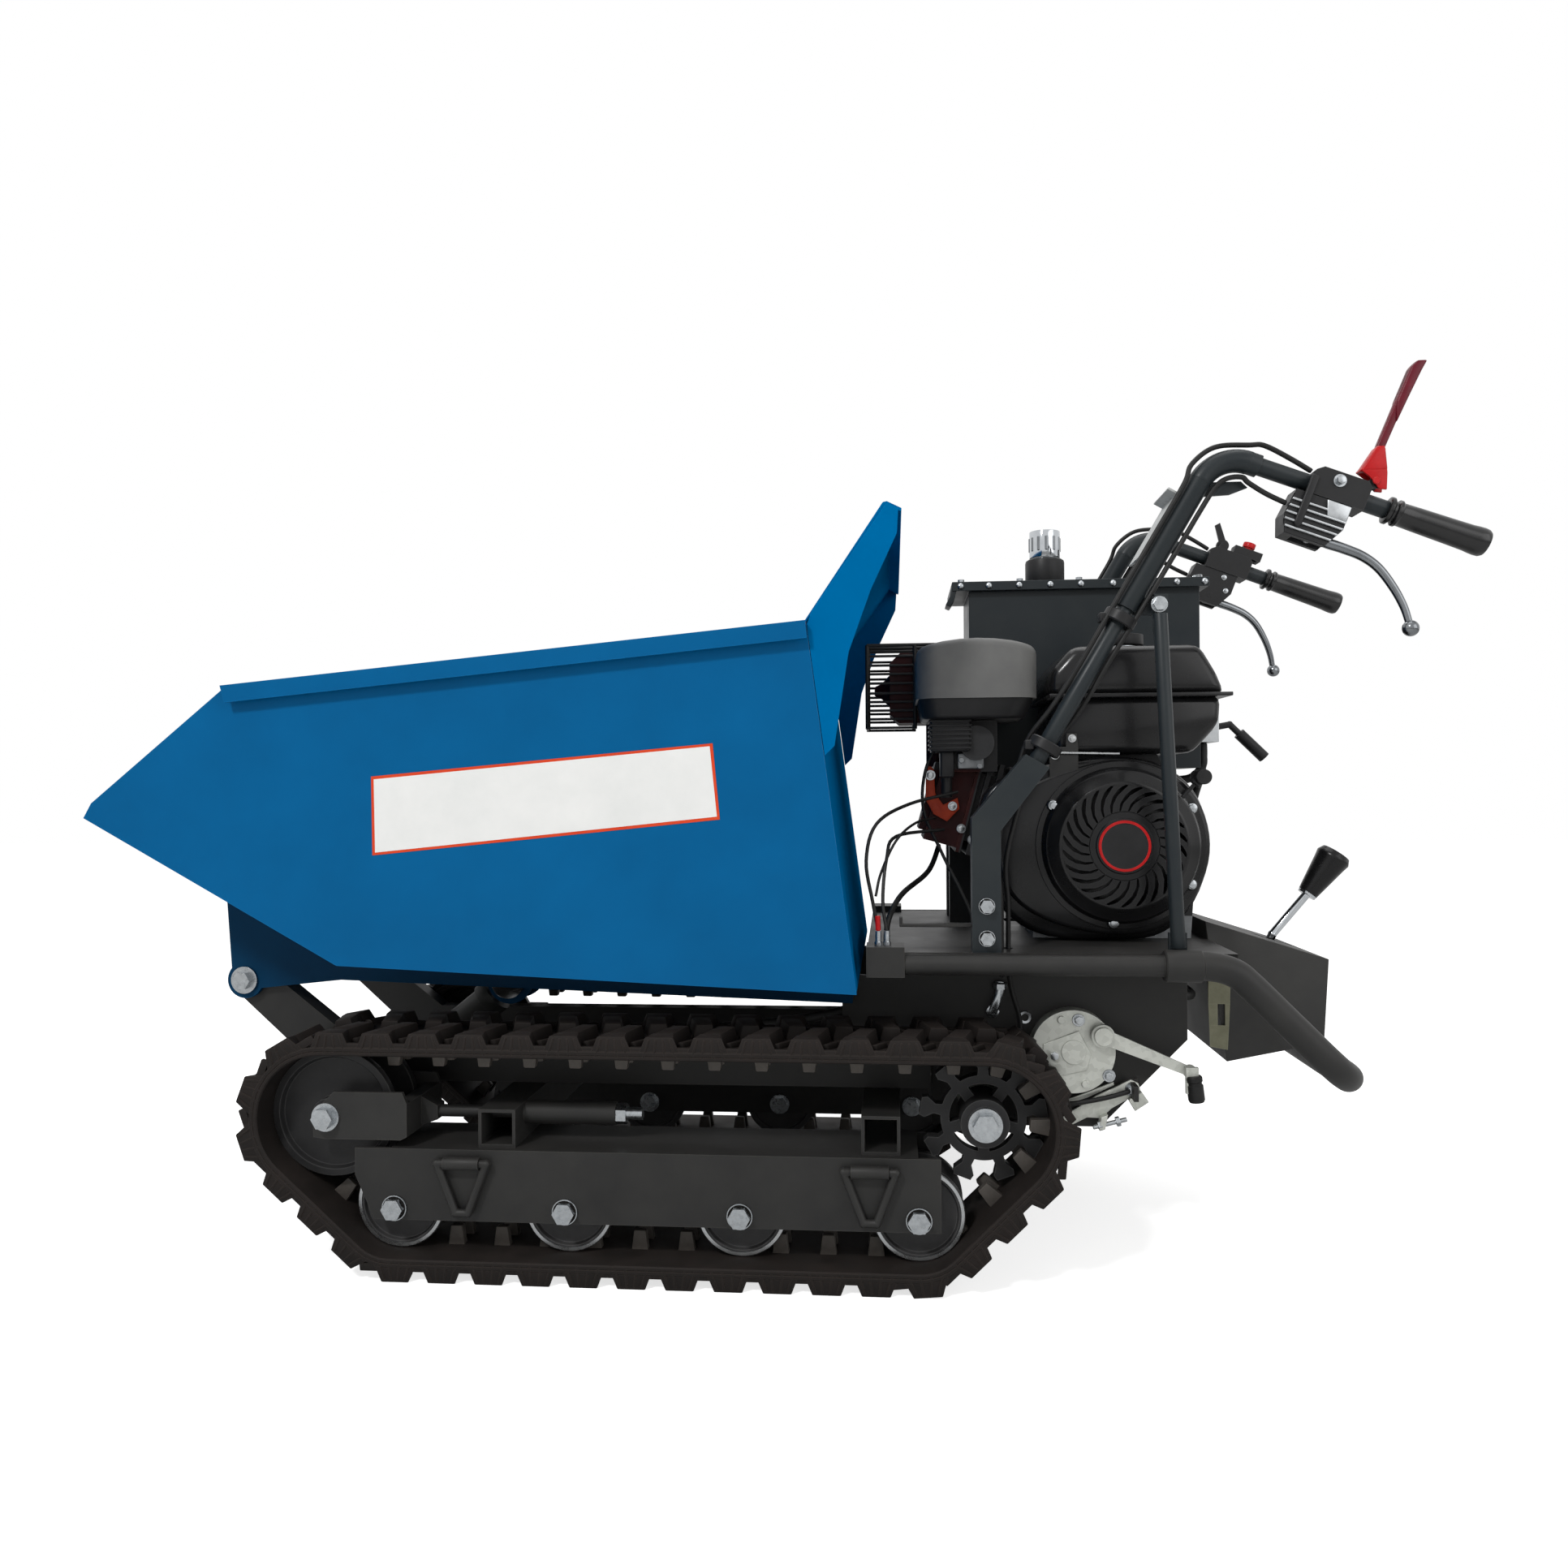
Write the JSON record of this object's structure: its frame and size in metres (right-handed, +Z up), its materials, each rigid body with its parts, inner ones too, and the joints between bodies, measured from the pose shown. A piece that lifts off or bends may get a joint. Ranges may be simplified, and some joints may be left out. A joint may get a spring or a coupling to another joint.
{
  "type": "tracked power carrier",
  "caption": "Walk-behind tracked power carrier with a hydraulic tipping skip, petrol engine, belt drive, rubber tracks on sprung idlers and lever controls.",
  "frame": {"origin": "centre of the overall box, on the ground under the tracks", "axes": "+X towards the handlebars, -X towards the skip's lip, +Z up, -Y the near side in the picture"},
  "size_m": [1.7852, 0.69, 1.139],
  "materials": {
    "frame_black": "satin black powder coat",
    "skip_blue": "gloss blue enamel",
    "track_rubber": "matt moulded rubber",
    "wheel_iron": "dark painted casting",
    "steel_plain": "machined steel",
    "zinc": "bright zinc plate",
    "galvanised": "grey metallic coat",
    "engine_alloy": "cast alloy",
    "engine_black": "gloss black pressed sheet",
    "filter_plastic": "grey moulded plastic",
    "black_plastic": "black moulded plastic",
    "grip_rubber": "soft black rubber",
    "red_plastic": "red moulded plastic",
    "control_alloy": "polished alloy",
    "muffler_brown": "heat-stained steel",
    "hose_rubber": "black hose and cable sheath",
    "rod_chrome": "hard chrome"
  },
  "bodies": {
    "frame": {"chassis_frame": "frame_black", "guard_rail": "frame_black", "track_frames": "frame_black", "left_track": "track_rubber", "right_track": "track_rubber", "gearbox_casing": "frame_black", "belt_guard": "frame_black", "drive_belt": "grip_rubber", "console_box": "frame_black", "engine_block": "engine_alloy", "fan_shroud": "engine_black", "recoil_cover": "engine_black", "fuel_tank": "engine_black", "air_filter": "filter_plastic", "muffler": "muffler_brown", "muffler_guard": "frame_black", "hydraulic_tank": "frame_black", "pump_and_valve": "engine_alloy", "handlebars": "frame_black", "handlebar_legs": "frame_black", "hand_grips": "grip_rubber", "control_blocks": "black_plastic", "cable_plate": "zinc", "cables_and_hoses": "hose_rubber", "fasteners": "zinc"},
    "skip": {"skip_sides": "skip_blue", "skip_floor": "skip_blue", "skip_back": "skip_blue"},
    "ram_barrel": {"ram_barrel": "frame_black"},
    "ram_rod": {"ram_rod": "rod_chrome"},
    "left_sprocket": {"left_sprocket": "wheel_iron"},
    "right_sprocket": {"right_sprocket": "wheel_iron"},
    "left_idler": {"left_idler": "wheel_iron"},
    "right_idler": {"right_idler": "wheel_iron"},
    "left_fork": {"left_fork": "frame_black"},
    "right_fork": {"right_fork": "frame_black"},
    "left_roller_1": {"left_roller_1": "wheel_iron"},
    "left_roller_2": {"left_roller_2": "wheel_iron"},
    "left_roller_3": {"left_roller_3": "wheel_iron"},
    "left_roller_4": {"left_roller_4": "wheel_iron"},
    "right_roller_1": {"right_roller_1": "wheel_iron"},
    "right_roller_2": {"right_roller_2": "wheel_iron"},
    "right_roller_3": {"right_roller_3": "wheel_iron"},
    "right_roller_4": {"right_roller_4": "wheel_iron"},
    "crankshaft": {"crankshaft": "steel_plain"},
    "input_pulley": {"input_pulley": "steel_plain"},
    "clutch_idler": {"clutch_idler": "steel_plain"},
    "clutch_lever": {"clutch_lever": "red_plastic"},
    "left_steer_lever": {"left_steer_lever": "control_alloy"},
    "right_steer_lever": {"right_steer_lever": "control_alloy"},
    "throttle_lever": {"throttle_lever": "black_plastic"},
    "stop_button": {"stop_button": "red_plastic"},
    "gear_lever": {"gear_lever": "steel_plain"},
    "valve_lever": {"valve_lever": "black_plastic"},
    "starter_grip": {"starter_grip": "black_plastic"},
    "fuel_cap": {"fuel_cap": "black_plastic"},
    "left_tie_rings": {"left_tie_rings": "frame_black"},
    "right_tie_rings": {"right_tie_rings": "frame_black"},
    "left_brake_arm": {"left_brake_arm": "galvanised"},
    "right_brake_arm": {"right_brake_arm": "galvanised"}
  },
  "joints": [
    {"name": "skip_tip", "type": "hinge", "parent": "frame", "child": "skip", "pos_m": [-0.754, 0, 0.35], "axis": [0, -1, 0], "range_deg": [0, 60]},
    {"name": "ram_swing", "type": "hinge", "parent": "frame", "child": "ram_barrel", "pos_m": [-0.655, 0, 0.14], "axis": [0, -1, 0], "range_deg": [0, 42.5]},
    {"name": "ram_stroke", "type": "slide", "parent": "ram_barrel", "child": "ram_rod", "axis": [0.7809, 0, 0.6247], "range_m": [0, 0.206]},
    {"name": "left_drive", "type": "hinge", "parent": "frame", "child": "left_sprocket", "pos_m": [0.266, -0.265, 0.2], "axis": [0, 1, 0], "continuous": true},
    {"name": "left_tension", "type": "slide", "parent": "frame", "child": "left_fork", "axis": [1, 0, 0], "range_m": [0, 0.006], "stiffness_N_per_m": 60000},
    {"name": "left_idler_spin", "type": "hinge", "parent": "left_fork", "child": "left_idler", "pos_m": [-0.566, -0.265, 0.2], "axis": [0, 1, 0], "continuous": true},
    {"name": "left_roller_1_spin", "type": "hinge", "parent": "frame", "child": "left_roller_1", "pos_m": [-0.476, -0.265, 0.087], "axis": [0, 1, 0], "continuous": true},
    {"name": "left_roller_2_spin", "type": "hinge", "parent": "frame", "child": "left_roller_2", "pos_m": [-0.256, -0.265, 0.087], "axis": [0, 1, 0], "continuous": true},
    {"name": "left_roller_3_spin", "type": "hinge", "parent": "frame", "child": "left_roller_3", "pos_m": [-0.036, -0.265, 0.087], "axis": [0, 1, 0], "continuous": true},
    {"name": "left_roller_4_spin", "type": "hinge", "parent": "frame", "child": "left_roller_4", "pos_m": [0.184, -0.265, 0.087], "axis": [0, 1, 0], "continuous": true},
    {"name": "right_drive", "type": "hinge", "parent": "frame", "child": "right_sprocket", "pos_m": [0.266, 0.265, 0.2], "axis": [0, 1, 0], "continuous": true},
    {"name": "right_tension", "type": "slide", "parent": "frame", "child": "right_fork", "axis": [1, 0, 0], "range_m": [0, 0.006], "stiffness_N_per_m": 60000},
    {"name": "right_idler_spin", "type": "hinge", "parent": "right_fork", "child": "right_idler", "pos_m": [-0.566, 0.265, 0.2], "axis": [0, 1, 0], "continuous": true},
    {"name": "right_roller_1_spin", "type": "hinge", "parent": "frame", "child": "right_roller_1", "pos_m": [-0.476, 0.265, 0.087], "axis": [0, 1, 0], "continuous": true},
    {"name": "right_roller_2_spin", "type": "hinge", "parent": "frame", "child": "right_roller_2", "pos_m": [-0.256, 0.265, 0.087], "axis": [0, 1, 0], "continuous": true},
    {"name": "right_roller_3_spin", "type": "hinge", "parent": "frame", "child": "right_roller_3", "pos_m": [-0.036, 0.265, 0.087], "axis": [0, 1, 0], "continuous": true},
    {"name": "right_roller_4_spin", "type": "hinge", "parent": "frame", "child": "right_roller_4", "pos_m": [0.184, 0.265, 0.087], "axis": [0, 1, 0], "continuous": true},
    {"name": "crank_spin", "type": "hinge", "parent": "frame", "child": "crankshaft", "pos_m": [0.458, 0, 0.536], "axis": [0, 1, 0], "continuous": true},
    {"name": "input_spin", "type": "hinge", "parent": "frame", "child": "input_pulley", "pos_m": [0.42, 0, 0.285], "axis": [0, 1, 0], "continuous": true},
    {"name": "clutch_squeeze", "type": "hinge", "parent": "frame", "child": "clutch_lever", "pos_m": [0.7534, -0.246, 0.99003], "axis": [0, 1, 0], "range_deg": [0, 60], "stiffness_Nm_per_rad": 0.6},
    {"name": "clutch_press", "type": "hinge", "parent": "frame", "child": "clutch_idler", "pos_m": [0.53356, 0, 0.293], "axis": [0, -1, 0], "range_deg": [0, 9]},
    {"name": "left_steer", "type": "hinge", "parent": "frame", "child": "left_steer_lever", "pos_m": [0.67626, -0.246, 0.92859], "axis": [0, -1, 0], "range_deg": [0, 18], "stiffness_Nm_per_rad": 1.5},
    {"name": "left_brake", "type": "hinge", "parent": "frame", "child": "left_brake_arm", "pos_m": [0.428, -0.19, 0.287], "axis": [0, 1, 0], "range_deg": [0, 11]},
    {"name": "right_steer", "type": "hinge", "parent": "frame", "child": "right_steer_lever", "pos_m": [0.67626, 0.246, 0.92859], "axis": [0, -1, 0], "range_deg": [0, 18], "stiffness_Nm_per_rad": 1.5},
    {"name": "right_brake", "type": "hinge", "parent": "frame", "child": "right_brake_arm", "pos_m": [0.428, 0.19, 0.287], "axis": [0, 1, 0], "range_deg": [0, 11]},
    {"name": "throttle", "type": "hinge", "parent": "frame", "child": "throttle_lever", "pos_m": [0.70442, 0.246, 1.01312], "axis": [0, 1, 0], "range_deg": [0, 45]},
    {"name": "stop_press", "type": "slide", "parent": "frame", "child": "stop_button", "axis": [-0.3584, 0, -0.9336], "range_m": [0, 0.004], "stiffness_N_per_m": 900},
    {"name": "gear_shift", "type": "hinge", "parent": "frame", "child": "gear_lever", "pos_m": [0.672, 0, 0.335], "axis": [0, 1, 0], "range_deg": [-8, 8]},
    {"name": "valve_move", "type": "hinge", "parent": "frame", "child": "valve_lever", "pos_m": [0.647, 0.135, 0.704], "axis": [0, 1, 0], "range_deg": [-12, 12], "stiffness_Nm_per_rad": 6},
    {"name": "starter_pull", "type": "slide", "parent": "frame", "child": "starter_grip", "axis": [0.6561, 0, 0.7547], "range_m": [0, 0.1], "stiffness_N_per_m": 120},
    {"name": "cap_turn", "type": "hinge", "parent": "frame", "child": "fuel_cap", "pos_m": [0.48, -0.045, 0.805], "axis": [0, 0, 1], "range_deg": [0, 90]},
    {"name": "left_rings_lift", "type": "hinge", "parent": "frame", "child": "left_tie_rings", "pos_m": [0, -0.333, 0.147], "axis": [-1, 0, 0], "range_deg": [0, 90]},
    {"name": "right_rings_lift", "type": "hinge", "parent": "frame", "child": "right_tie_rings", "pos_m": [0, 0.333, 0.147], "axis": [1, 0, 0], "range_deg": [0, 90]}
  ],
  "couplings": [
    {"joint": "ram_swing", "follows": "skip_tip", "ratio": 0.6996},
    {"joint": "ram_stroke", "follows": "skip_tip", "m_per_rad": 0.19453},
    {"joint": "left_idler_spin", "follows": "left_drive", "ratio": 0.98102},
    {"joint": "left_roller_1_spin", "follows": "left_drive", "ratio": 1.387},
    {"joint": "left_roller_2_spin", "follows": "left_drive", "ratio": 1.387},
    {"joint": "left_roller_3_spin", "follows": "left_drive", "ratio": 1.387},
    {"joint": "left_roller_4_spin", "follows": "left_drive", "ratio": 1.387},
    {"joint": "right_idler_spin", "follows": "right_drive", "ratio": 0.98102},
    {"joint": "right_roller_1_spin", "follows": "right_drive", "ratio": 1.387},
    {"joint": "right_roller_2_spin", "follows": "right_drive", "ratio": 1.387},
    {"joint": "right_roller_3_spin", "follows": "right_drive", "ratio": 1.387},
    {"joint": "right_roller_4_spin", "follows": "right_drive", "ratio": 1.387},
    {"joint": "input_spin", "follows": "crank_spin", "ratio": 0.6},
    {"joint": "clutch_press", "follows": "clutch_squeeze", "ratio": 0.15},
    {"joint": "left_brake", "follows": "left_steer", "ratio": 0.6},
    {"joint": "right_brake", "follows": "right_steer", "ratio": 0.6}
  ]
}
